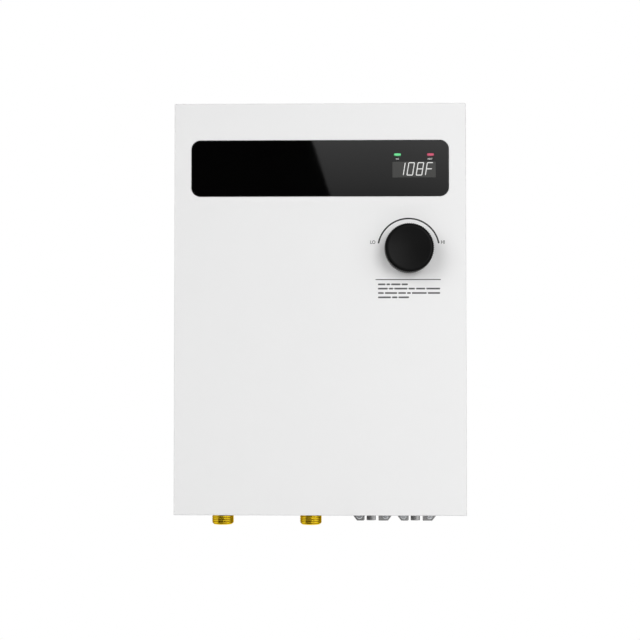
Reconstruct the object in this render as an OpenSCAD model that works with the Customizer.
// Wall-mounted instant electric water heater with a folded steel case.
// Frame: +Z up, the front faces -Y, and the wall is the plane y = 0.
// The origin is on the wall, in the middle of the four wall holes.

/* [Case] */
// Width of the case
case_w = 280; // [276:1:320]
// Height of the case
case_h = 395; // [385:1:450]
// Depth from the wall to the front face
case_d = 88; // [84:1:110]
// Thickness of the steel sheet
sheet = 1.2; // [0.8:0.1:1.6]
// Inner radius of the folds
bend_in = 0.4; // [0.2:0.1:3]
// Gap between the cover and the chassis inside it
fit_gap = 0.4; // [0.2:0.1:0.8]
// Gap between the cover's rear edge and the wall
wall_gap = 2; // [1:0.5:6]
// Depth of the chassis flanges
flange_d = 22; // [18:1:40]
// How far the connection plate sits above the cover's lower edge
bottom_recess = 6; // [4:0.5:7]
// Depth of the lip under the front of the cover
lip_d = 10; // [5:1:14]
// Height of the flanges on the connection plate
plate_flange_h = 14; // [11:1:15]

/* [Wall holes] */
// Diameter of the wall holes
wall_hole_d = 6.5; // [4:0.5:9]
// Distance between the wall holes, across
wall_hole_dx = 240; // [238:1:250]
// Distance between the wall holes, up
wall_hole_dz = 330; // [325:1:345]
// Width of the stiffening beads pressed into the rear wall
bead_w = 14; // [8:1:24]
// Depth of the stiffening beads
bead_depth = 0.6; // [0.2:0.1:0.7]

/* [Display] */
// Width of the black display panel
panel_w = 247; // [200:1:252]
// Height of the black display panel
panel_h = 54; // [50:1:60]
// Thickness of the display panel
panel_t = 1.5; // [1:0.1:2.5]
// Corner radius of the display panel
panel_r = 8.6; // [3:0.1:14]
// Height of the panel's middle above the origin
panel_z = 134.7; // [130:0.1:145]
// How far the panel stands proud of the front face
panel_proud = 0.3; // [0.1:0.1:0.8]
// Gap around the panel in its recess
panel_gap = 0.3; // [0.1:0.1:0.6]
// Width of the display window
window_w = 41.8; // [38:0.1:50]
// Height of the display window
window_h = 15.6; // [13:0.1:18]
// Distance of the window's middle from the panel's right end
window_side = 33.3; // [30:0.1:43]
// Height of the window below the panel's middle
window_drop = 1.4; // [0:0.1:4]
// Width of a status lamp
lamp_w = 6.8; // [4:0.1:8]
// Height of a status lamp
lamp_h = 3.1; // [2:0.1:4]
// Distance between the two status lamps
lamp_dx = 31.6; // [20:0.1:34]
// Height of the lamps above the window's middle
lamp_rise = 14.2; // [12:0.1:17]
// Gap around the window and the lamps
inlay_gap = 0.1; // [0.05:0.05:0.3]
// Thickness of the circuit boards
board_t = 1.6; // [1:0.1:2]

/* [Knob] */
// Distance of the knob's axis to the left of the window's middle
knob_left = 5.3; // [0:0.1:7]
// Height of the knob above the origin
knob_z = 56.9; // [55:0.1:62]
// Diameter of the knob over its serrations
knob_d = 46.7; // [36:0.1:52]
// Height of the knob
knob_h = 20; // [17:0.5:26]
// Gap between the released knob and the front face
knob_gap = 2; // [1.8:0.1:3]
// Wall of the knob's skirt
knob_wall = 3; // [2:0.1:5]
// Thickness of the knob's face
knob_face_t = 3.5; // [2:0.1:4.5]
// Height of the knob's serrated grip
knob_grip_h = 15.2; // [12:0.1:16]
// Step from the foot of the serrations in to the smooth cap
cap_step = 0.85; // [0.05:0.05:1]
// Rounding of the cap's front edge
knob_round = 2.6; // [0.5:0.1:2.6]
// Number of serrations round the knob
knob_teeth = 72; // [36:1:96]
// Depth of a serration
tooth_h = 0.5; // [0.2:0.1:0.8]
// Travel of the knob when it is pressed
push_travel = 1.5; // [0.5:0.1:1.5]
// Diameter of the encoder's shaft
shaft_d = 6; // [5:0.1:6.4]
// Diameter of the encoder's threaded bush
bush_d = 7; // [6.8:0.1:8]
// Length of the bush in front of the case
bush_len = 5; // [4:0.5:6]
// Depth of the encoder's body
encoder_h = 6.5; // [6:0.1:8]
// Width of the encoder's body
encoder_w = 13; // [12:0.5:16]

/* [Water fittings] */
// Major diameter of the pipe thread, 1/2 inch
thread_d = 21.34; // [20:0.01:22]
// Thread pitch, 14 turns to the inch
thread_pitch = 1.814; // [1.4:0.001:2.4]
// Length of thread below the lock nut
thread_len = 15.3; // [12:0.1:22]
// Thickness of the lock nut
locknut_t = 4.5; // [3:0.1:5]
// Water way through a fitting
fitting_bore_d = 15; // [12:0.1:15.5]
// Place of the cold inlet across
inlet_x = -10; // [-14:0.5:-8]
// Place of the hot outlet across
outlet_x = -97; // [-100:0.5:-96]
// Distance of the pipe axes from the wall
pipe_y = 40; // [38:0.5:43]
// Height of the hexagonal collar
collar_h = 8; // [6:0.5:12]
// Width of the collar and of the lock nut across their flats
collar_af = 28; // [26:0.5:30]
// Depth of a tube socket
socket_len = 14; // [10:0.5:18]
// Thickness of the rubber washers
washer_t = 1.5; // [1:0.1:2]

/* [Heating] */
// Outer diameter of the water tubes
tube_d = 19; // [16:0.1:19.4]
// Wall of the water tubes
tube_wall = 1.5; // [1:0.1:2]
// Outer diameter of a heating vessel
vessel_d = 52; // [46:0.5:54]
// Wall of a heating vessel
vessel_wall = 2; // [1.5:0.1:3]
// Height of a heating vessel
vessel_h = 175; // [165:1:185]
// Outer diameter of the crossover tube
crossover_d = 14; // [10:0.1:15]
// Diameter of the heating rods
rod_d = 8; // [6:0.1:9]
// Diameter of the flow sensor's body
sensor_d = 28; // [27:0.5:32]
// Height of the flow sensor's body
sensor_h = 40; // [34:1:42]
// Height of the cooling block for the switching devices
cooling_h = 28; // [24:1:30]
// Travel of the reset button when the cut-out trips
reset_travel = 2; // [1:0.1:3]

/* [Cable glands] */
// Distance of the right gland from the right side of the case
gland_side = 46.3; // [43:0.1:50]
// Distance between the glands
gland_dx = 43.1; // [40:0.1:48]
// Distance of the glands from the wall
gland_y = 44; // [40:0.5:48]
// Diameter of the cable way
gland_bore_d = 14.4; // [12:0.1:15]
// Diameter of the threaded neck
gland_neck_d = 20.4; // [19:0.1:22]
// Width of the clamp over its ears
ear_w = 37.4; // [35:0.1:39]
// Height of the clamp
clamp_h = 11.5; // [9:0.1:14]
// Distance between the clamp screws
clamp_dx = 25.5; // [25:0.1:28]

/* [Electrics] */
// Width of the power board
power_board_w = 100; // [94:1:101]
// Height of the power board
power_board_h = 118; // [112:1:122]
// Height of the spacers under the power board
spacer_h = 14; // [10:0.5:20]
// Width of the terminal block
terminal_w = 76; // [72:1:80]
// Diameter of the power leads
lead_d = 4.4; // [3:0.1:4.6]

/* [Hidden] */
$fn = 72;

// Clearances of a face that seats, a tube in its socket and a shaft in its bore
seat_gap = 0.1;
slip_gap = 0.1;
run_gap = 0.05;
// Length that a cut runs past the solid it cuts
past = 1;

// Levels of the case
half_w = case_w / 2;
half_h = case_h / 2;
front_y = -case_d;
inner_y = front_y + sheet;
chassis_x = half_w - sheet - fit_gap;
chassis_top = half_h - sheet - fit_gap;
plate_z = -half_h + bottom_recess;
deck_z = plate_z + sheet;
wall_in = -sheet;
bend_r = bend_in + sheet;

// Levels of the display, from the front to the rear
panel_front = front_y - panel_proud;
panel_back = panel_front + panel_t;
board_front = inner_y + encoder_h;
board_back = board_front + board_t;
window_x = panel_w / 2 - window_side;
window_z = panel_z - window_drop;
lamp_z = window_z + lamp_rise;
display_margin = 1.2;
module_w = window_w - 2;
module_h = window_h - 1;
board_side = 11;
board_rim = 7;
board_foot = 15;
board_left = window_x - window_w / 2 - board_side;
board_right = window_x + window_w / 2 + board_side;
board_low = knob_z - encoder_w / 2 - board_foot;
board_high = lamp_z + lamp_h / 2 + board_rim;
board_screw_in = 4.5;

// Levels of the knob's axis: a is the distance in front of the front face
encoder_wall = 1.2;
nut_washer_t = 0.5;
nut_t = 2;
nut_af = 10;
knob_x = window_x - knob_left;
knob_r = knob_d / 2;
shaft_r = shaft_d / 2;
tail_r = shaft_r - 0.5;
tail_flat = tail_r / 2;
shaft_flat = shaft_r / 2;
rotor_r = encoder_w / 2 - 1.5;
rotor_t = 2;
a_inner = -sheet;
a_board = a_inner - encoder_h;
a_board_back = a_board - board_t;
a_cavity = a_inner - encoder_wall;
a_cavity_back = a_board + encoder_wall;
a_shoulder = a_cavity + push_travel + seat_gap;
a_rotor = a_cavity - 0.3;
a_tail = a_board + push_travel + seat_gap;
a_boss = bush_len + push_travel + 0.5;
grip_len = 10;
a_tip = a_boss + grip_len;
a_knob_back = knob_gap;
a_knob_front = max(knob_gap + knob_h, a_tip + 0.5 + knob_face_t);
plunger_r = 1.75;
plunger_len = 5.3;
a_plunger = a_tail - seat_gap;
a_plunger_back = a_plunger - plunger_len;
switch_w = 7;
switch_wall = 0.7;
a_switch_back = a_plunger_back - push_travel - switch_wall - 0.2;
boss_r = shaft_r + 2.5;
ring_t = 0.8;

// Levels of the water path, upwards from the connection plate
tube_r = tube_d / 2;
socket_r = tube_r + slip_gap;
socket_wall = 3;
socket_out = socket_r + socket_wall;
ledge = 3;
thread_r = thread_d / 2;
thread_depth = 0.64 * thread_pitch;
neck_r = thread_r - 0.27;
nut_slip = 0.1;
fitting_foot = plate_z - locknut_t - thread_len;
collar_low = deck_z + washer_t;
collar_top = collar_low + collar_h;
ledge_z = collar_top - ledge;
socket_top = collar_top + socket_len;
filter_t = 1;
sensor_foot = ledge_z + filter_t + seat_gap;
sensor_low = socket_top + seat_gap;
sensor_top = sensor_low + sensor_h;
sensor_socket_top = sensor_top + socket_len;
sensor_r = sensor_d / 2;
chamber_r = tube_r - 1;
sensor_way_r = tube_r - 2;
cooling_low = sensor_socket_top + 1;
cooling_top = cooling_low + cooling_h;
vessel_r = vessel_d / 2;
vessel_in = vessel_r - vessel_wall;
port_low = cooling_top + 1;
vessel_low = port_low + socket_len;
vessel_floor = 3;
vessel_top = vessel_low + vessel_h;
flange_r = vessel_r + 6;
flange_t = 5;
cap_low = vessel_top + washer_t;
cap_t = 6;
cap_top = cap_low + cap_t;
cap_screw_r = (vessel_in + flange_r) / 2 + 1.5;
port_ledge = 1.5;
crossover_r = crossover_d / 2;
crossover_z = vessel_top - 22;
spout_wall = 2;
spout_len = 8;

// Heating rods: each element is two hairpins
leg_x = 8;
leg_y = 9;
rod_r = rod_d / 2;
hairpin_low = vessel_low + 20;
collar_ceramic_h = 6;
pin_r = 1.5;
pin_len = 10;
link_z = cap_top + collar_ceramic_h + seat_gap;
link_t = 1.5;
link_w = 7;
link_len = 2 * leg_y + 12;

// Cradles that carry the vessels on the rear wall
cradle_h = 16;
cradle_rise = [24, 122];
cradle_z = [for (rise = cradle_rise) vessel_low + rise];
cradle_gap = 0.15;
strap_t = 1.5;
strap_screw_in = 10;
strap_w = 12;
strap_ear = 9;
strap_in = vessel_r + cradle_gap;
strap_screw = strap_in + strap_t + strap_ear / 2;
cradle_end = strap_in + strap_t + strap_ear;
stud_r = 2.5;
stud_len = 18;
stud_dx = 16;

// Cooling block and the devices on it
cooling_half_x = 20;
cooling_half_y = 17.5;
triac_t = 5;
triac_w = 15.5;
triac_h = 20;
triac_dy = 8.5;
triac_z = cooling_low + cooling_h / 2;

// Flow sensor's turbine
turbine_pin_r = 1;
turbine_hub_r = 3;
turbine_r = chamber_r - 0.9;
turbine_blades = 6;
turbine_tilt = 32;
bearing_t = 5;
turbine_gap = 0.3;
chamber_low = sensor_low + 3;
turbine_low = chamber_low + bearing_t + turbine_gap;
turbine_high = sensor_top - bearing_t - turbine_gap;

// Thermal cut-out on the front of the hot vessel
cutout_rise = 74;
cutout_z = vessel_low + cutout_rise;
pad_r = 9;
pad_y = -pipe_y - vessel_r - 2;
cutout_r = 8;
cutout_t = 9;
button_r = 2;
button_out = 2.5;
button_hold = 5;
cutout_front = pad_y - cutout_t;
button_back = cutout_front + reset_travel + button_hold;

// Cable glands, downwards from the connection plate
gland_x = half_w - gland_side - gland_dx;
gland_bore_r = gland_bore_d / 2;
gland_neck_r = gland_neck_d / 2;
gland_neck_len = 15;
gland_flange_r = gland_neck_r + 3.3;
gland_flange_t = 3;
gland_nut_t = 3.5;
saddle_r = gland_bore_r + 0.4;
saddle_wall = 2.3;
strap_face = -saddle_r;
ear_t = 6;
clamp_low = -gland_flange_t - clamp_h;
clamp_strap_t = 4.6;
clamp_mid_t = 1.6;
dip_floor = 3.9;
dip_mouth = 7.3;
ear_chamfer_w = 3.6;
ear_chamfer_h = 4.6;
ear_shoulder = 1;
clamp_screw_rise = 4.8;
clamp_screw_r = 1.9;
clamp_head_r = 3.2;
clamp_head_t = 2;

// Screws
m3_r = 1.5;
m3_head_r = 2.9;
m3_head_t = 2;
m4_r = 2;
m4_head_r = 3.8;
m4_head_t = 2.4;
slot_w = 1;

// Electrics, from the connection plate upwards and from the right-hand side
side_gap = 10;
power_board_x = chassis_x - side_gap - power_board_w / 2;
power_board_rise = 95;
power_board_low = deck_z + power_board_rise;
power_board_z = power_board_low + power_board_h / 2;
power_board_back = wall_in - spacer_h;
power_board_front = power_board_back - board_t;
board_hole_in = 6;
spacer_screw_in = 8;
terminal_x = gland_x + gland_dx / 2;
terminal_rise = 55;
terminal_z = deck_z + terminal_rise;
terminal_h = 28;
terminal_base_t = 12;
post_dz = 8;
terminal_t = 24;
terminal_poles = 4;
pole_dx = terminal_w / terminal_poles;
relay_size = [22, 26, 34];
transformer_size = [38, 30, 34];
transformer_rise = 22;
cover_screw_z = 120;
cover_screw_in = 10;
cover_screw_len = 8;
cover_screw_y = -wall_gap - cover_screw_in;
plate_screw_dx = 115;
ground_side = 12;
ground_dz = 16;
ground_x = terminal_x + terminal_w / 2 + ground_side;

// Routes of the power leads: terminal block to relays, and switching devices to the elements
relay_dx = 48;
relay_x = [power_board_x - relay_dx / 2, power_board_x + relay_dx / 2];
relay_rise = 14;
relay_foot = power_board_low + relay_rise;
lead_r = lead_d / 2;
lead_y = -pipe_y - 15;
lead_step = 6;
lead_gap_x = (inlet_x + outlet_x) / 2;
lead_side_x = inlet_x + vessel_r + 9.5;
end_gap = 0.3;
supply_routes = [
    for (i = [0:terminal_poles - 1])
        let (
            x0 = terminal_x + (i - (terminal_poles - 1) / 2) * pole_dx,
            x1 = relay_x[i < 2 ? 0 : 1] + (i % 2 == 0 ? -6 : 6),
            y0 = wall_in - terminal_base_t - 5,
            y1 = power_board_front - relay_size[1] / 2,
            z0 = terminal_z + terminal_h / 2
        )
        [
            [x0, y0, z0 + end_gap],
            [x0, y0, z0 + 8],
            [(x0 + x1) / 2, (y0 + y1) / 2, (z0 + relay_foot) / 2],
            [x1, y1, relay_foot - 8],
            [x1, y1, relay_foot - end_gap]
        ]
];
// v is the vessel, hot then cold; k is the lead, the one to the near link and then the one in front of it
element_routes = [
    for (v = [0, 1], k = [0, 1])
        let (
            link_x = (v == 0 ? outlet_x : inlet_x) + leg_x * (1 - 2 * k),
            rise_x = v == 0 ? lead_gap_x : lead_side_x,
            rise_y = lead_y - lead_step * k,
            foot_x = inlet_x + (2 * v - 1) * (cooling_half_x + triac_t / 2),
            foot_y = -pipe_y + (1 - 2 * k) * triac_dy,
            foot_z = triac_z + triac_h / 2 + 4 + end_gap,
            link_end = -pipe_y - link_len / 2 - end_gap,
            turn_y = link_end - 10 - 8 * k,
            top_z = link_z + link_t / 2
        )
        [
            [foot_x, foot_y, foot_z],
            [foot_x, foot_y, foot_z + 5],
            [(foot_x + rise_x) / 2, (foot_y + rise_y) / 2, foot_z + 14],
            [rise_x, rise_y, vessel_low + 16],
            [rise_x, rise_y, vessel_low + 60],
            [rise_x, rise_y, vessel_top - 12],
            [(2 * rise_x + link_x) / 3, turn_y, top_z],
            [link_x + 4, turn_y, top_z],
            [link_x, link_end - 7, top_z],
            [link_x, link_end, top_z]
        ]
];

// Routes of the thin leads of the outlet sensor and the cut-out to the power board
signal_r = 0.9;
ribbon_w = 12;
ribbon_t = 1.2;
signal_x = power_board_x - power_board_w / 2 + 5;
thermistor_z = sensor_low + 20;
sensor_front = tube_r + 7.8;
signal_routes = [
    [
        [outlet_x, -pipe_y - sensor_front - end_gap, thermistor_z],
        [outlet_x, -pipe_y - sensor_front - 4, thermistor_z],
        [outlet_x + 14, -pipe_y - 25, thermistor_z - 2],
        [outlet_x + 50, -pipe_y - 27, thermistor_z - 6],
        [inlet_x + 18, -pipe_y - 24, thermistor_z],
        [signal_x - 7, -pipe_y - 20, thermistor_z + 20],
        [signal_x, -pipe_y - 6, power_board_low - 8],
        [signal_x, power_board_front - 8, power_board_low + 22],
        [signal_x, power_board_front - end_gap, power_board_low + 26]
    ],
    [
        [outlet_x + cutout_r + 6 + end_gap, pad_y - cutout_t / 2, cutout_z],
        [outlet_x + cutout_r + 12, pad_y - cutout_t / 2, cutout_z],
        [outlet_x + 40, pad_y - 6, cutout_z],
        [lead_gap_x + 30, pad_y - 8, cutout_z - 10],
        [lead_side_x - 8, pad_y - 4, power_board_z + 34],
        [signal_x + 2, pad_y, power_board_z + 26],
        [signal_x + 4, -pipe_y - 8, power_board_z + 18],
        [signal_x, power_board_front - 8, power_board_z + 12],
        [signal_x, power_board_front - end_gap, power_board_z + 10]
    ]
];
ribbon_x = board_right - 18;
ribbon_route = [
    [ribbon_x, power_board_front - end_gap, power_board_low + power_board_h - 14],
    [ribbon_x, power_board_front - 10, power_board_low + power_board_h - 13],
    [ribbon_x, power_board_front - 26, power_board_low + power_board_h + 8],
    [ribbon_x, board_back + 14, board_low + 24],
    [ribbon_x, board_back + 5, board_low + 30],
    [ribbon_x, board_back + end_gap, board_low + 31]
];

// Plain shapes placed by their ends
module block(low, high) {
    translate(low) cube(high - low);
}

module z_rod(r, low, high) {
    translate([0, 0, low]) cylinder(r = r, h = high - low);
}

module z_ring(r_out, r_in, low, high) {
    difference() {
        z_rod(r_out, low, high);
        z_rod(r_in, low - past, high + past);
    }
}

module y_rod(r, front, back) {
    translate([0, front, 0]) rotate([-90, 0, 0]) cylinder(r = r, h = back - front);
}

module x_rod(r, left, right) {
    translate([left, 0, 0]) rotate([0, 90, 0]) cylinder(r = r, h = right - left);
}

module z_hexagon(flats, low, high) {
    translate([0, 0, low]) cylinder(r = flats / 2 / cos(30), h = high - low, $fn = 6);
}

module rounded_rect(w, h, r) {
    square([w - 2 * r, h], center = true);
    square([w, h - 2 * r], center = true);
    for (sx = [-1, 1], sy = [-1, 1]) {
        translate([sx * (w / 2 - r), sy * (h / 2 - r)]) circle(r);
    }
}

// A plate that faces the front, from y = front to y = back
module face_plate(w, h, r, front, back) {
    translate([0, back, 0]) rotate([90, 0, 0]) linear_extrude(back - front) rounded_rect(w, h, r);
}

module at_xz(x, z) {
    translate([x, 0, z]) children();
}

// The knob's axis: local z runs outwards from the front face
module on_knob_axis() {
    translate([knob_x, front_y, knob_z]) rotate([90, 0, 0]) children();
}

module on_pipe(x) {
    translate([x, -pipe_y, 0]) children();
}

module at_glands() {
    for (i = [0, 1]) {
        translate([gland_x + i * gland_dx, -gland_y, plate_z]) children();
    }
}

// Outline of a folded sheet, rounded at its two front corners
module folded_outline(half, front, back, r) {
    translate([-half, front + r]) square([2 * half, back - front - r]);
    translate([-half + r, front]) square([2 * (half - r), back - front]);
    for (s = [-1, 1]) {
        translate([s * (half - r), front + r]) circle(r);
    }
}

// A block whose four front edges are folds of radius r
module folded_block(half_x, half_z, front, back, r) {
    intersection() {
        translate([0, 0, -half_z]) linear_extrude(2 * half_z) folded_outline(half_x, front, back, r);
        rotate([0, -90, 0]) translate([0, 0, -half_x])
            linear_extrude(2 * half_x) folded_outline(half_z, front, back, r);
    }
}

// Pan-head screw with a slot: its head stands on z = 0 and its shank points down
module pan_screw(r, head_r, head_t, len) {
    difference() {
        union() {
            z_rod(head_r, 0, head_t);
            z_rod(r, -len, 0);
        }
        block([-head_r - past, -slot_w / 2, head_t / 2], [head_r + past, slot_w / 2, head_t + past]);
    }
}

module m3_screw(len) {
    pan_screw(m3_r, m3_head_r, m3_head_t, len);
}

module m4_screw(len) {
    pan_screw(m4_r, m4_head_r, m4_head_t, len);
}

// Sweep of a section along a smooth route
function route_point(p, q, r, s, t) =
    0.5 * (2 * q + (r - p) * t + (2 * p - 5 * q + 4 * r - s) * t * t + (3 * q - p - 3 * r + s) * t * t * t);
function smooth_route(p, steps) =
    let (n = len(p) - 1, q = concat([2 * p[0] - p[1]], p, [2 * p[n] - p[n - 1]]))
    concat(
        [for (i = [0:n - 1], k = [0:steps - 1]) route_point(q[i], q[i + 1], q[i + 2], q[i + 3], k / steps)],
        [p[n]]
    );
function unit(v) = v / norm(v);
function direction(p, i) = unit(p[min(i + 1, len(p) - 1)] - p[max(i - 1, 0)]);
function across(v, t) = unit(v - (v * t) * t);
function sides(p, first, i = 0) =
    let (here = across(first, direction(p, i)))
    i == len(p) - 1 ? [here] : concat([here], sides(p, here, i + 1));

module sweep(route, section, first, steps) {
    p = smooth_route(route, steps);
    n = len(section);
    u = sides(p, first);
    points = [
        for (i = [0:len(p) - 1])
            let (w = cross(direction(p, i), u[i]))
            for (s = section) p[i] + s[0] * u[i] + s[1] * w
    ];
    walls = [
        for (i = [0:len(p) - 2], k = [0:n - 1])
            let (a = i * n + k, b = i * n + (k + 1) % n)
            each [[a, b + n, b], [a, a + n, b + n]]
    ];
    first_end = [for (k = [1:n - 2]) [0, k, k + 1]];
    last = (len(p) - 1) * n;
    last_end = [for (k = [1:n - 2]) [last, last + k + 1, last + k]];
    polyhedron(points, concat(walls, first_end, last_end));
}

function round_section(r, n = 8) = [for (k = [0:n - 1]) r * [cos(360 * k / n), sin(360 * k / n)]];
function flat_section(w, t) = [[-w / 2, -t / 2], [w / 2, -t / 2], [w / 2, t / 2], [-w / 2, t / 2]];

// Case
module front_cover() {
    color("whitesmoke")
    difference() {
        union() {
            difference() {
                folded_block(half_w, half_h, front_y, -wall_gap, bend_r);
                folded_block(half_w - sheet, half_h - sheet, inner_y, past, bend_in);
                block(
                    [-half_w + sheet, front_y + lip_d, -half_h - past],
                    [half_w - sheet, past, -half_h + bend_r]
                );
            }
            at_xz(0, panel_z) face_plate(
                panel_w + 2 * (panel_gap + sheet), panel_h + 2 * (panel_gap + sheet),
                panel_r + panel_gap + sheet, front_y + sheet / 2, panel_back + sheet
            );
        }
        at_xz(0, panel_z) face_plate(
            panel_w + 2 * panel_gap, panel_h + 2 * panel_gap, panel_r + panel_gap,
            front_y - past, panel_back
        );
        block(
            [window_x - window_w / 2 - display_margin, front_y, window_z - window_h / 2 - display_margin],
            [
                window_x + window_w / 2 + display_margin, panel_back + sheet + past,
                lamp_z + lamp_h / 2 + display_margin
            ]
        );
        on_knob_axis() z_rod(bush_d / 2 + 0.2, a_inner - past, past);
        for (z = [-1, 1]) {
            translate([0, cover_screw_y, z * cover_screw_z]) x_rod(m4_r + 0.3, -half_w - past, half_w + past);
        }
    }
}

module rear_chassis() {
    color("gainsboro")
    difference() {
        union() {
            intersection() {
                difference() {
                    rotate([0, 0, 180]) folded_block(chassis_x, chassis_top, 0, flange_d, bend_r);
                    rotate([0, 0, 180])
                        folded_block(
                            chassis_x - sheet, chassis_top - sheet, sheet, flange_d + past, bend_in
                        );
                }
                block([-half_w, -case_d, plate_z], [half_w, past, half_h]);
            }
            cradle_studs(0);
        }
        for (z = [plate_z - past, deck_z - past]) {
            block([-half_w, -case_d, z], [half_w, wall_in, z + sheet + 2 * past]);
        }
        for (sx = [-1, 1], sz = [-1, 1]) {
            at_xz(sx * wall_hole_dx / 2, sz * wall_hole_dz / 2) y_rod(wall_hole_d / 2, wall_in - past, past);
        }
        for (s = [-1, 1]) {
            at_xz(0, s * wall_hole_dz / 4)
                face_plate(wall_hole_dx - 4 * bead_w, bead_w, bead_w / 2 - seat_gap, -bead_depth, past);
        }
        for (z = [-1, 1]) {
            translate([0, cover_screw_y, z * cover_screw_z]) x_rod(m4_r, -half_w - past, half_w + past);
        }
        at_plate_screws() y_rod(m4_r, wall_in - past, past);
        at_ground_screws() y_rod(m4_r, wall_in - past, past);
        at_terminal_screws() y_rod(m4_r, wall_in - past, past);
    }
}

// Studs welded to the rear wall for the cradles; grow widens them into the cradle's holes
module cradle_studs(grow) {
    for (z = cradle_z, s = [-1, 1]) {
        at_xz(lead_gap_x + s * stud_dx / 2, z + cradle_h / 2)
            y_rod(stud_r + grow, wall_in - stud_len - grow, -sheet / 2);
    }
}

module at_plate_screws() {
    for (i = [-1:1]) {
        at_xz(i * plate_screw_dx, plate_z + plate_flange_h / 2 + sheet) children();
    }
}

module at_ground_screws() {
    for (i = [0, 1]) {
        at_xz(ground_x, terminal_z + (i - 0.5) * ground_dz) children();
    }
}

module at_terminal_screws() {
    for (s = [-1, 1]) {
        at_xz(terminal_x + s * pole_dx, terminal_z) children();
    }
}

module connection_plate() {
    flange_front = inner_y + fit_gap;
    flange_back = wall_in - sheet;
    flange_top = plate_z + plate_flange_h;
    rear_half = chassis_x - sheet - fit_gap - bend_r;
    color("lightgray")
    difference() {
        union() {
            block([-chassis_x, flange_front, plate_z], [chassis_x, wall_in, deck_z]);
            block([-chassis_x, flange_front, plate_z], [chassis_x, flange_front + sheet, flange_top]);
            block([-rear_half, flange_back, plate_z], [rear_half, wall_in, flange_top]);
        }
        for (x = [inlet_x, outlet_x]) {
            on_pipe(x) z_rod(thread_r + 0.4, plate_z - past, deck_z + past);
        }
        at_glands() z_rod(gland_neck_r + 0.3, -past, sheet + past);
        at_plate_screws() y_rod(m4_r + 0.2, flange_back - past, wall_in + past);
    }
}

// Display
module display_panel() {
    color("black")
    difference() {
        at_xz(0, panel_z) face_plate(panel_w, panel_h, panel_r, panel_front, panel_back);
        at_xz(window_x, window_z) face_cut(window_w, window_h);
        for (s = [-1, 1]) {
            at_xz(window_x + s * lamp_dx / 2, lamp_z) face_cut(lamp_w, lamp_h);
        }
    }
}

module face_cut(w, h) {
    block([-w / 2, panel_front - past, -h / 2], [w / 2, panel_back + past, h / 2]);
}

module inlay(w, h, back) {
    block(
        [-w / 2 + inlay_gap, panel_front, -h / 2 + inlay_gap],
        [w / 2 - inlay_gap, back, h / 2 - inlay_gap]
    );
}

module display_window() {
    color("dimgray") at_xz(window_x, window_z) inlay(window_w, window_h, panel_back);
}

module power_lamp() {
    color("lightgreen") at_xz(window_x - lamp_dx / 2, lamp_z) inlay(lamp_w, lamp_h, board_front);
}

module heat_lamp() {
    color("crimson") at_xz(window_x + lamp_dx / 2, lamp_z) inlay(lamp_w, lamp_h, board_front);
}

module digit_module() {
    color("darkslategray")
    block(
        [window_x - module_w / 2, panel_back + seat_gap, window_z - module_h / 2],
        [window_x + module_w / 2, board_front, window_z + module_h / 2]
    );
}

module at_board_screws() {
    for (x = [board_left + board_screw_in, board_right - board_screw_in]) {
        for (z = [board_low + board_screw_in, board_high - board_screw_in]) {
            at_xz(x, z) children();
        }
    }
}

module display_board() {
    color("darkgreen")
    difference() {
        block([board_left, board_front, board_low], [board_right, board_back, board_high]);
        at_board_screws() y_rod(m3_r + 0.2, board_front - past, board_back + past);
        at_xz(knob_x, knob_z) y_rod(plunger_r + 0.5, board_front - past, board_back + past);
    }
}

// Spacers between the cover and the display board; the upper pair stands on the pressed recess
module display_spacers() {
    color("goldenrod")
    for (x = [board_left + board_screw_in, board_right - board_screw_in]) {
        at_xz(x, board_low + board_screw_in) display_spacer(inner_y);
        at_xz(x, board_high - board_screw_in) display_spacer(panel_back + sheet);
    }
}

module display_spacer(seat) {
    difference() {
        y_rod(3, seat, board_front);
        y_rod(m3_r + slip_gap, seat + 0.8, board_front + past);
    }
}

// Knob and encoder
module encoder_body() {
    color("silver")
    on_knob_axis() difference() {
        union() {
            block([-encoder_w / 2, -encoder_w / 2, a_board], [encoder_w / 2, encoder_w / 2, a_inner]);
            z_rod(bush_d / 2, a_inner - encoder_wall / 2, bush_len);
        }
        z_rod(shaft_r + run_gap, a_cavity - past, bush_len + past);
        z_rod(rotor_r + 0.3, a_cavity_back, a_cavity);
        z_rod(tail_r + 0.3, a_board - past, a_cavity);
    }
}

module encoder_nut() {
    color("silver")
    on_knob_axis() difference() {
        union() {
            z_rod(nut_af / 2 + 1, 0, nut_washer_t);
            z_hexagon(nut_af, nut_washer_t, nut_washer_t + nut_t);
        }
        z_rod(bush_d / 2 + slip_gap, -past, nut_washer_t + nut_t + past);
    }
}

// A round bar with a flat on its +x side
module flatted_bar(r, flat, low, high) {
    difference() {
        z_rod(r, low, high);
        block([flat, -r - past, low - past], [r + past, r + past, high + past]);
    }
}

module encoder_rotor() {
    color("orange")
    on_knob_axis() difference() {
        z_rod(rotor_r, a_rotor - rotor_t, a_rotor);
        flatted_bar(tail_r + slip_gap, tail_flat + slip_gap, a_rotor - rotor_t - past, a_rotor + past);
    }
}

module encoder_shaft() {
    color("lightsteelblue")
    on_knob_axis() {
        z_rod(shaft_r, a_shoulder, a_boss - seat_gap);
        flatted_bar(shaft_r, shaft_flat, a_boss - seat_gap - 0.4, a_tip);
        flatted_bar(tail_r, tail_flat, a_tail, a_shoulder + 0.4);
    }
}

module push_switch() {
    color("dimgray")
    on_knob_axis() difference() {
        block([-switch_w / 2, -switch_w / 2, a_switch_back], [switch_w / 2, switch_w / 2, a_board_back]);
        z_rod(plunger_r + 0.15, a_switch_back + switch_wall, a_board_back + past);
    }
}

module push_plunger() {
    color("ivory") on_knob_axis() z_rod(plunger_r, a_plunger_back, a_plunger);
}

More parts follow.
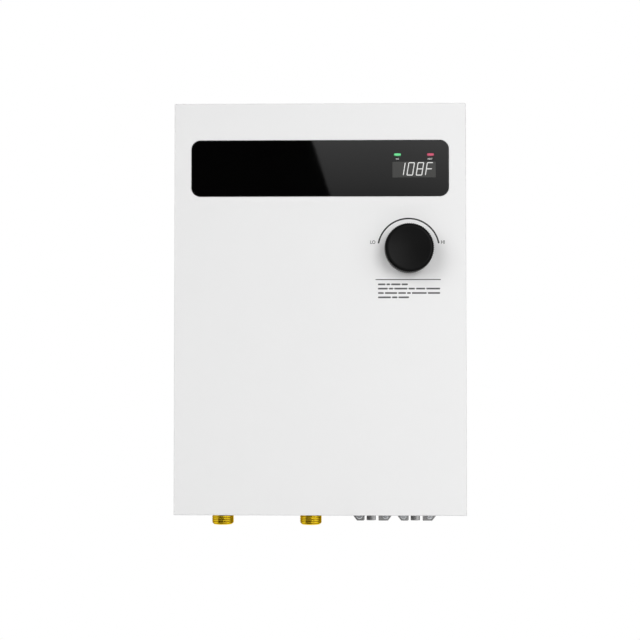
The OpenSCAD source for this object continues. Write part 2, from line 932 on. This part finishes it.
// Serrated outline of the knob's grip
function serration(r, depth, n) = [
    for (k = [0:n - 1], side = [0, 1])
        let (angle = 360 * (k + side / 2) / n)
        (r - side * depth) * [cos(angle), sin(angle)]
];

module control_knob() {
    core_r = knob_r - tooth_h;
    cap_r = core_r - cap_step;
    tall = a_knob_front - a_knob_back;
    grip_low = a_knob_back + 1.5;
    color("#1c1c1c")
    on_knob_axis() difference() {
        union() {
            translate([0, 0, a_knob_back]) rotate_extrude() {
                square([core_r, knob_grip_h]);
                square([cap_r, tall - knob_round]);
                square([cap_r - knob_round, tall]);
                translate([cap_r - knob_round, tall - knob_round]) circle(knob_round);
            }
            translate([0, 0, grip_low]) linear_extrude(a_knob_back + knob_grip_h - grip_low)
                polygon(serration(knob_r, tooth_h, knob_teeth));
        }
        difference() {
            z_rod(core_r - knob_wall, a_knob_back - past, a_knob_front - knob_face_t);
            z_rod(boss_r, a_boss, a_knob_front);
        }
        flatted_bar(shaft_r + run_gap, shaft_flat + run_gap, a_boss - past, a_tip + 0.5);
    }
}

module knob_ring() {
    color("silver")
    on_knob_axis() difference() {
        z_ring(boss_r + run_gap + ring_t, boss_r + run_gap, a_boss + 1, a_tip - 1);
        block([-boss_r - 2, -1, a_boss], [0, 1, a_tip]);
    }
}

// Water fittings
function thread_rings(r, depth, pitch, low, n) = [
    for (i = [0:n - 1])
        each [
            [r, low + (i + 0.05) * pitch], [r, low + (i + 0.35) * pitch],
            [r - depth, low + (i + 0.6) * pitch], [r - depth, low + (i + 0.8) * pitch]
        ]
];

module water_fitting() {
    chamfer = 1.6;
    first = fitting_foot + chamfer;
    turns = floor((thread_len - chamfer - 0.4) / thread_pitch);
    difference() {
        union() {
            rotate_extrude() polygon(concat(
                [[0, fitting_foot], [thread_r - chamfer, fitting_foot]],
                thread_rings(thread_r, thread_depth, thread_pitch, first, turns),
                [
                    [thread_r, first + (turns + 0.05) * thread_pitch],
                    [thread_r, plate_z - locknut_t], [neck_r, plate_z - locknut_t],
                    [neck_r, collar_low + 0.5], [0, collar_low + 0.5]
                ]
            ));
            z_hexagon(collar_af, collar_low, collar_top);
            z_rod(socket_out, collar_top - past, socket_top);
        }
        z_rod(fitting_bore_d / 2, fitting_foot - past, ledge_z + past);
        z_rod(socket_r, ledge_z, socket_top + past);
    }
}

module cold_inlet() {
    color("goldenrod") on_pipe(inlet_x) water_fitting();
}

module hot_outlet() {
    color("goldenrod") on_pipe(outlet_x) water_fitting();
}

module pipe_locknuts() {
    color("darkgoldenrod")
    for (x = [inlet_x, outlet_x]) {
        on_pipe(x) difference() {
            z_hexagon(collar_af, plate_z - locknut_t, plate_z);
            z_rod(neck_r + nut_slip, plate_z - locknut_t - past, plate_z + past);
        }
    }
}

// Washers under the collars and at the ends of the plugged tubes
module rubber_washers() {
    end_r = tube_r - tube_wall;
    color("dimgray") {
        for (x = [inlet_x, outlet_x]) {
            on_pipe(x) z_ring(collar_af / 2, neck_r + 0.4, deck_z, collar_low);
            on_pipe(x) z_ring(tube_r, end_r, vessel_low - port_ledge, vessel_low);
        }
        on_pipe(outlet_x) z_ring(tube_r, end_r, ledge_z, ledge_z + washer_t);
    }
}

module inlet_filter() {
    cup_r = fitting_bore_d / 2 - 0.2;
    cup_h = 8;
    color("lightgray")
    on_pipe(inlet_x) difference() {
        union() {
            z_rod(tube_r - 0.1, ledge_z, ledge_z + filter_t);
            z_rod(cup_r, ledge_z - cup_h, ledge_z + filter_t / 2);
        }
        z_rod(cup_r - 0.8, ledge_z - cup_h + 0.8, ledge_z + filter_t + past);
        for (k = [0:5]) {
            rotate([0, 0, 60 * k]) translate([cup_r * 0.6, 0, 0]) z_rod(1.1, ledge_z - cup_h - past, ledge_z);
        }
        z_rod(1.1, ledge_z - cup_h - past, ledge_z);
    }
}

// Flow sensor
module flow_sensor() {
    color("darkslategray")
    on_pipe(inlet_x) difference() {
        union() {
            z_rod(tube_r, sensor_foot, sensor_low + past);
            z_rod(sensor_r, sensor_low, sensor_top);
            z_rod(socket_out, sensor_top - past, sensor_socket_top);
        }
        z_rod(sensor_way_r, sensor_foot - past, chamber_low + past);
        z_rod(chamber_r, chamber_low, sensor_top + past);
        z_rod(socket_r, sensor_top, sensor_socket_top + past);
    }
}

module flow_rotor() {
    blade_t = 0.9;
    mid = (turbine_low + turbine_high) / 2;
    color("white")
    on_pipe(inlet_x) difference() {
        union() {
            z_rod(turbine_hub_r, turbine_low, turbine_high);
            intersection() {
                z_rod(turbine_r, turbine_low + 2, turbine_high - 2);
                for (k = [0:turbine_blades - 1]) {
                    rotate([0, 0, 360 * k / turbine_blades]) translate([turbine_hub_r / 2, 0, mid])
                        rotate([turbine_tilt, 0, 0]) translate([0, -blade_t / 2, -sensor_h / 2])
                            cube([turbine_r, blade_t, sensor_h]);
                }
            }
        }
        z_rod(turbine_pin_r + run_gap, turbine_low - past, turbine_high + past);
    }
}

module rotor_pin() {
    color("silver")
    on_pipe(inlet_x) z_rod(turbine_pin_r, chamber_low + 1, sensor_top - 1);
}

module rotor_bearings() {
    color("ivory")
    on_pipe(inlet_x) {
        bearing_spider(chamber_low);
        bearing_spider(sensor_top - bearing_t);
    }
}

module bearing_spider(low) {
    rim_r = chamber_r - 0.1;
    difference() {
        union() {
            z_ring(rim_r, rim_r - 1.2, low, low + bearing_t);
            z_rod(2.6, low, low + bearing_t);
            for (k = [0:2]) {
                rotate([0, 0, 120 * k]) block([1, -0.6, low], [rim_r - 0.6, 0.6, low + bearing_t]);
            }
        }
        z_rod(turbine_pin_r + slip_gap / 2, low - past, low + bearing_t + past);
    }
}

module hall_sensor() {
    color("black")
    on_pipe(inlet_x) difference() {
        block([4, -6, sensor_low + 12], [sensor_r + 5, 6, sensor_low + 28]);
        z_rod(sensor_r + seat_gap, sensor_low, sensor_top);
    }
}

// Tubes and vessels
module cold_tube() {
    color("peru")
    on_pipe(inlet_x) z_ring(tube_r, tube_r - tube_wall, sensor_top + seat_gap, vessel_low - port_ledge);
}

module hot_tube() {
    color("peru")
    on_pipe(outlet_x) z_ring(tube_r, tube_r - tube_wall, ledge_z + washer_t, vessel_low - port_ledge);
}

module crossover_tube() {
    color("peru")
    translate([0, -pipe_y, crossover_z]) difference() {
        x_rod(crossover_r, outlet_x + vessel_r + 2, inlet_x - vessel_r - 2);
        x_rod(crossover_r - 1, outlet_x, inlet_x);
    }
}

// A vessel with its lower port, its flange and a side spout that points along way; hot adds the cut-out's pad
module vessel(way, hot) {
    spout_r = crossover_r + slip_gap;
    difference() {
        union() {
            z_rod(vessel_r, vessel_low, vessel_top);
            z_rod(flange_r, vessel_top - flange_t, vessel_top);
            z_rod(socket_out, port_low, vessel_low + past);
            translate([0, 0, crossover_z]) rotate([0, 0, way])
                x_rod(spout_r + spout_wall, 0, vessel_r + spout_len);
            if (hot) {
                translate([0, 0, cutout_z]) y_rod(pad_r, pad_y + pipe_y, 0);
            }
        }
        z_rod(vessel_in, vessel_low + vessel_floor, vessel_top + past);
        z_rod(socket_r, port_low - past, vessel_low);
        z_rod(tube_r - tube_wall, port_low, vessel_low + vessel_floor + past);
        translate([0, 0, crossover_z]) rotate([0, 0, way]) {
            x_rod(crossover_r - 1, vessel_in - 2, vessel_r + spout_len + past);
            x_rod(spout_r, vessel_r + 2 - seat_gap, vessel_r + spout_len + past);
        }
        at_cap_screws() z_rod(m4_r, vessel_top - flange_t - past, vessel_top + past);
    }
}

module at_cap_screws() {
    for (k = [0:3]) {
        rotate([0, 0, 45 + 90 * k]) translate([cap_screw_r, 0, 0]) children();
    }
}

module cold_vessel() {
    color("lightgray") on_pipe(inlet_x) vessel(180, false);
}

module hot_vessel() {
    color("lightgray") on_pipe(outlet_x) vessel(0, true);
}

module vessel_seals() {
    color("dimgray")
    for (x = [inlet_x, outlet_x]) {
        on_pipe(x) difference() {
            z_ring(flange_r, vessel_in, vessel_top, cap_low);
            at_cap_screws() z_rod(m4_r + 0.3, vessel_top - past, cap_low + past);
        }
    }
}

module vessel_caps() {
    color("darkkhaki")
    for (x = [inlet_x, outlet_x]) {
        on_pipe(x) difference() {
            z_rod(flange_r, cap_low, cap_top);
            at_legs() z_rod(rod_r + slip_gap, cap_low - past, cap_top + past);
            at_cap_screws() z_rod(m4_r + 0.3, cap_low - past, cap_top + past);
        }
    }
}

module cap_screws() {
    color("silver")
    for (x = [inlet_x, outlet_x]) {
        on_pipe(x) at_cap_screws() translate([0, 0, cap_top]) m4_screw(cap_t + washer_t + flange_t);
    }
}

module at_legs() {
    for (sx = [-1, 1], sy = [-1, 1]) {
        translate([sx * leg_x, sy * leg_y, 0]) children();
    }
}

// Two hairpins with ceramic collars and terminal pins on top
module heating_element() {
    for (sy = [-1, 1]) {
        translate([0, sy * leg_y, hairpin_low]) {
            rotate([-90, 0, 0]) rotate_extrude(angle = 180) translate([leg_x, 0]) circle(rod_r);
            for (sx = [-1, 1]) {
                translate([sx * leg_x, 0, 0]) {
                    z_rod(rod_r, 0, cap_top - hairpin_low + 0.5);
                    z_rod(rod_r + 1, cap_top - hairpin_low, cap_top - hairpin_low + collar_ceramic_h);
                    z_rod(pin_r, cap_top - hairpin_low, cap_top - hairpin_low + collar_ceramic_h + pin_len);
                }
            }
        }
    }
}

module cold_element() {
    color("slategray") on_pipe(inlet_x) heating_element();
}

module hot_element() {
    color("slategray") on_pipe(outlet_x) heating_element();
}

// Copper straps that join the hairpins' pins in pairs, each held by two nuts
module element_links() {
    nut_h = 3;
    color("chocolate")
    for (x = [inlet_x, outlet_x], sx = [-1, 1]) {
        on_pipe(x) translate([sx * leg_x, 0, 0]) difference() {
            union() {
                block([-link_w / 2, -link_len / 2, link_z], [link_w / 2, link_len / 2, link_z + link_t]);
                for (sy = [-1, 1]) {
                    translate([0, sy * leg_y, 0]) z_hexagon(5.5, link_z, link_z + link_t + nut_h);
                }
            }
            for (sy = [-1, 1]) {
                translate([0, sy * leg_y, 0])
                    z_rod(pin_r + slip_gap, link_z - past, link_z + link_t + nut_h + past);
            }
        }
    }
}

// Moulded cradles on the rear wall, with steel straps round the front of the vessels
module vessel_cradles() {
    color("darkgray")
    for (z = cradle_z) {
        difference() {
            block([outlet_x - cradle_end, -pipe_y, z], [inlet_x + cradle_end, wall_in, z + cradle_h]);
            for (x = [inlet_x, outlet_x]) {
                on_pipe(x) z_rod(strap_in, z - past, z + cradle_h + past);
                for (s = [-1, 1]) {
                    at_xz(x + s * strap_screw, z + cradle_h / 2) y_rod(m4_r, -pipe_y - past, -pipe_y + 12);
                }
            }
            cradle_studs(slip_gap);
        }
    }
}

module vessel_straps() {
    color("silver")
    for (z = cradle_z, x = [inlet_x, outlet_x]) {
        on_pipe(x) translate([0, 0, z + cradle_h / 2]) vessel_strap();
    }
}

module vessel_strap() {
    half = strap_w / 2;
    difference() {
        union() {
            intersection() {
                z_rod(strap_in + strap_t, -half, half);
                block([-cradle_end, -cradle_end, -half], [cradle_end, 0, half]);
            }
            block([-cradle_end, -strap_t, -half], [cradle_end, 0, half]);
        }
        z_rod(strap_in, -half - past, half + past);
        for (s = [-1, 1]) {
            at_xz(s * strap_screw, 0) y_rod(m4_r + 0.2, -strap_t - past, past);
        }
    }
}

// Cooling block on the cold tube, with the switching devices on its two sides
module cooling_block() {
    color("silver")
    on_pipe(inlet_x) difference() {
        block([-cooling_half_x, -cooling_half_y, cooling_low], [cooling_half_x, cooling_half_y, cooling_top]);
        z_rod(tube_r + slip_gap, cooling_low - past, cooling_top + past);
        at_triacs() x_rod(m3_r, -6, past);
    }
}

// Each device stands on local x = 0, facing outwards along +x
module at_triacs() {
    for (side = [0, 180], s = [-1, 1]) {
        rotate([0, 0, side]) translate([cooling_half_x, s * triac_dy, triac_z]) children();
    }
}

module triacs() {
    color("#2b2b2b")
    on_pipe(inlet_x) at_triacs() difference() {
        union() {
            block([0, -triac_w / 2, -triac_h / 2], [triac_t, triac_w / 2, triac_h / 2]);
            for (k = [-1:1]) {
                block(
                    [triac_t / 2 - 0.4, 4.5 * k - 0.6, triac_h / 2 - past],
                    [triac_t / 2 + 0.4, 4.5 * k + 0.6, triac_h / 2 + 4]
                );
            }
        }
        x_rod(m3_r + 0.2, -past, triac_t + past);
    }
}

// Thermal cut-out with its reset button, and the clip-on temperature sensors
module thermal_cutout() {
    color("saddlebrown")
    translate([outlet_x, 0, cutout_z]) difference() {
        union() {
            y_rod(cutout_r, cutout_front, pad_y);
            for (s = [-1, 1]) {
                translate([s * (cutout_r + 2.5), (cutout_front + pad_y) / 2, 0])
                    cube([7, 0.8, 6], center = true);
            }
        }
        y_rod(button_r + 0.2, cutout_front - past, button_back);
    }
}

module reset_button() {
    color("red")
    translate([outlet_x, 0, cutout_z]) y_rod(button_r, cutout_front - button_out, button_back - seat_gap);
}

module thermistors() {
    color("black") {
        on_pipe(outlet_x) translate([0, 0, thermistor_z]) clip_sensor();
        on_pipe(inlet_x) translate([0, 0, sensor_top + socket_len / 2]) clip_sensor(socket_out);
    }
}

module clip_sensor(r = tube_r) {
    difference() {
        union() {
            z_rod(r + 1.6, -5, 5);
            block([-4, -r - 7.8, -4], [4, 0, 4]);
        }
        z_rod(r + seat_gap, -5 - past, 5 + past);
        block([-r * 0.8, 0, -5 - past], [r * 0.8, r + 2 + past, 5 + past]);
    }
}

// Terminal block and power board
module terminal_block() {
    low = [terminal_x - terminal_w / 2, wall_in - terminal_base_t, terminal_z - terminal_h / 2];
    high = [terminal_x + terminal_w / 2, wall_in, terminal_z + terminal_h / 2];
    color("#303030")
    difference() {
        union() {
            block(low, high);
            for (i = [0:terminal_poles]) {
                x = low[0] + i * pole_dx;
                block(
                    [max(x - 1, low[0]), wall_in - terminal_t, low[2]],
                    [min(x + 1, high[0]), wall_in, high[2]]
                );
            }
        }
        at_terminal_posts() y_rod(m4_r, -terminal_base_t + wall_in - past, wall_in - 2);
        at_terminal_screws() y_rod(m4_r + 0.2, wall_in - terminal_t - past, past);
        at_terminal_screws() y_rod(m4_head_r + 0.5, wall_in - terminal_t - past, wall_in - 5);
    }
}

module at_terminal_posts() {
    for (i = [0:terminal_poles - 1], s = [-1, 1]) {
        at_xz(terminal_x + (i - (terminal_poles - 1) / 2) * pole_dx, terminal_z + s * post_dz) children();
    }
}

// Front-facing screw: its head stands on the plane y = seat
module facing(seat) {
    translate([0, seat, 0]) rotate([90, 0, 0]) children();
}

module terminal_screws() {
    color("silver")
    at_terminal_posts() facing(wall_in - terminal_base_t) m4_screw(terminal_base_t - 3);
}

module at_power_board_screws() {
    for (sx = [-1, 1], sz = [-1, 1]) {
        at_xz(
            power_board_x + sx * (power_board_w / 2 - board_hole_in),
            power_board_z + sz * (power_board_h / 2 - board_hole_in)
        ) children();
    }
}

module power_board() {
    color("darkgreen")
    difference() {
        block(
            [power_board_x - power_board_w / 2, power_board_front, power_board_low],
            [power_board_x + power_board_w / 2, power_board_back, power_board_low + power_board_h]
        );
        at_power_board_screws() y_rod(m3_r + 0.2, power_board_front - past, power_board_back + past);
    }
}

module board_spacers() {
    color("goldenrod")
    at_power_board_screws() difference() {
        y_rod(3, power_board_back, wall_in);
        y_rod(m3_r + slip_gap, power_board_back - past, wall_in - 2);
    }
}

module transformer() {
    foot = [power_board_x, power_board_front, power_board_z + transformer_rise];
    color("darkorange")
    translate(foot) {
        block(
            [-transformer_size[0] / 2, -transformer_size[1], -transformer_size[2] / 2],
            [transformer_size[0] / 2, 0, transformer_size[2] / 2]
        );
    }
}

module relays() {
    color("#223344")
    for (x = relay_x) {
        translate([x, power_board_front, relay_foot])
            block([-relay_size[0] / 2, -relay_size[1], 0], [relay_size[0] / 2, 0, relay_size[2]]);
    }
}

module m3_screws() {
    color("silver") {
        at_board_screws() translate([0, board_back, 0]) rotate([-90, 0, 0]) m3_screw(board_t + 4.5);
        at_power_board_screws() facing(power_board_front) m3_screw(board_t + spacer_screw_in);
        on_pipe(inlet_x) at_triacs() translate([triac_t, 0, 0]) rotate([0, 90, 0]) m3_screw(triac_t + 5);
    }
}

module m4_screws() {
    color("silver") {
        at_plate_screws() facing(wall_in - sheet) m4_screw(2 * sheet - 0.2);
        at_ground_screws() facing(wall_in) m4_screw(sheet - 0.2);
        at_terminal_screws() facing(wall_in - 5) m4_screw(5 + sheet - 0.2);
        for (s = [-1, 1], z = [-1, 1]) {
            translate([s * half_w, cover_screw_y, z * cover_screw_z])
                rotate([0, s * 90, 0]) m4_screw(cover_screw_len);
        }
        for (z = cradle_z, x = [inlet_x, outlet_x], s = [-1, 1]) {
            at_xz(x + s * strap_screw, z + cradle_h / 2)
                facing(-pipe_y - strap_t) m4_screw(strap_t + strap_screw_in);
        }
    }
}

// Cable glands with their clamp straps
module ear_outline(h) {
    w = ear_w / 2;
    polygon([
        [-w, ear_chamfer_h], [-w + ear_chamfer_w, 0], [w - ear_chamfer_w, 0], [w, ear_chamfer_h],
        [w, h - ear_shoulder], [w - ear_shoulder, h], [-w + ear_shoulder, h], [-w, h - ear_shoulder]
    ]);
}

// Ears of the clamp, from y = front to y = back
module ear_plate(front, back) {
    translate([0, back, clamp_low]) rotate([90, 0, 0]) linear_extrude(back - front) ear_outline(clamp_h);
}

module cable_glands() {
    cheek = saddle_r + saddle_wall;
    color("silver")
    at_glands() difference() {
        union() {
            z_rod(gland_neck_r, -gland_flange_t, gland_neck_len);
            z_rod(gland_flange_r, -gland_flange_t, 0);
            intersection() {
                union() {
                    z_rod(cheek, clamp_low, -gland_flange_t + 0.5);
                    block([-cheek, strap_face, clamp_low], [cheek, 0, -gland_flange_t + 0.5]);
                }
                block([-cheek, strap_face, clamp_low - past], [cheek, cheek, 0]);
            }
            ear_plate(strap_face, strap_face + ear_t);
        }
        z_rod(gland_bore_r, clamp_low - past, gland_neck_len + past);
        z_rod(saddle_r, clamp_low - past, -gland_flange_t);
        block([-saddle_r, strap_face - past, clamp_low - past], [saddle_r, 0, -gland_flange_t]);
        at_clamp_screws() y_rod(clamp_screw_r + slip_gap, strap_face - past, strap_face + ear_t + past);
    }
}

module at_clamp_screws() {
    for (s = [-1, 1]) {
        at_xz(s * clamp_dx / 2, clamp_low + clamp_screw_rise) children();
    }
}

// Straps with thick ends for the screws and a dip between them
module gland_straps() {
    front = strap_face - clamp_strap_t;
    middle = strap_face - clamp_mid_t;
    color("gainsboro")
    at_glands() difference() {
        ear_plate(front, strap_face);
        translate([0, 0, clamp_low - past]) linear_extrude(clamp_h + 2 * past) polygon([
            [-dip_floor, middle], [dip_floor, middle], [dip_mouth, front], [dip_mouth, front - past],
            [-dip_mouth, front - past], [-dip_mouth, front]
        ]);
        at_clamp_screws() y_rod(clamp_screw_r + 0.3, front - past, strap_face + past);
    }
}

module gland_screws() {
    color("silver")
    at_glands() at_clamp_screws() facing(strap_face - clamp_strap_t)
        pan_screw(clamp_screw_r, clamp_head_r, clamp_head_t, clamp_strap_t + ear_t + 2);
}

module gland_locknuts() {
    color("silver")
    at_glands() difference() {
        z_hexagon(2 * gland_neck_r + 5, sheet, sheet + gland_nut_t);
        z_rod(gland_neck_r + slip_gap, sheet - past, sheet + gland_nut_t + past);
    }
}

// Leads
module power_leads() {
    color("firebrick") {
        for (route = supply_routes) {
            sweep(route, round_section(lead_r), [1, 0, 0], 3);
        }
        for (route = element_routes) {
            sweep(route, round_section(lead_r), [1, 0, 0], 4);
        }
    }
}

module signal_leads() {
    color("khaki") {
        for (route = signal_routes) {
            sweep(route, round_section(signal_r), [0, 0, 1], 4);
        }
        sweep(ribbon_route, flat_section(ribbon_w, ribbon_t), [1, 0, 0], 4);
    }
}

front_cover();
rear_chassis();
connection_plate();
display_panel();
display_window();
power_lamp();
heat_lamp();
digit_module();
display_board();
display_spacers();
encoder_body();
encoder_nut();
encoder_rotor();
encoder_shaft();
push_switch();
push_plunger();
control_knob();
knob_ring();
cold_inlet();
hot_outlet();
pipe_locknuts();
rubber_washers();
inlet_filter();
flow_sensor();
flow_rotor();
rotor_pin();
rotor_bearings();
hall_sensor();
cold_tube();
hot_tube();
crossover_tube();
cold_vessel();
hot_vessel();
vessel_seals();
vessel_caps();
cap_screws();
cold_element();
hot_element();
element_links();
vessel_cradles();
vessel_straps();
cooling_block();
triacs();
thermal_cutout();
reset_button();
thermistors();
terminal_block();
terminal_screws();
power_board();
board_spacers();
transformer();
relays();
m3_screws();
m4_screws();
cable_glands();
gland_straps();
gland_screws();
gland_locknuts();
power_leads();
signal_leads();
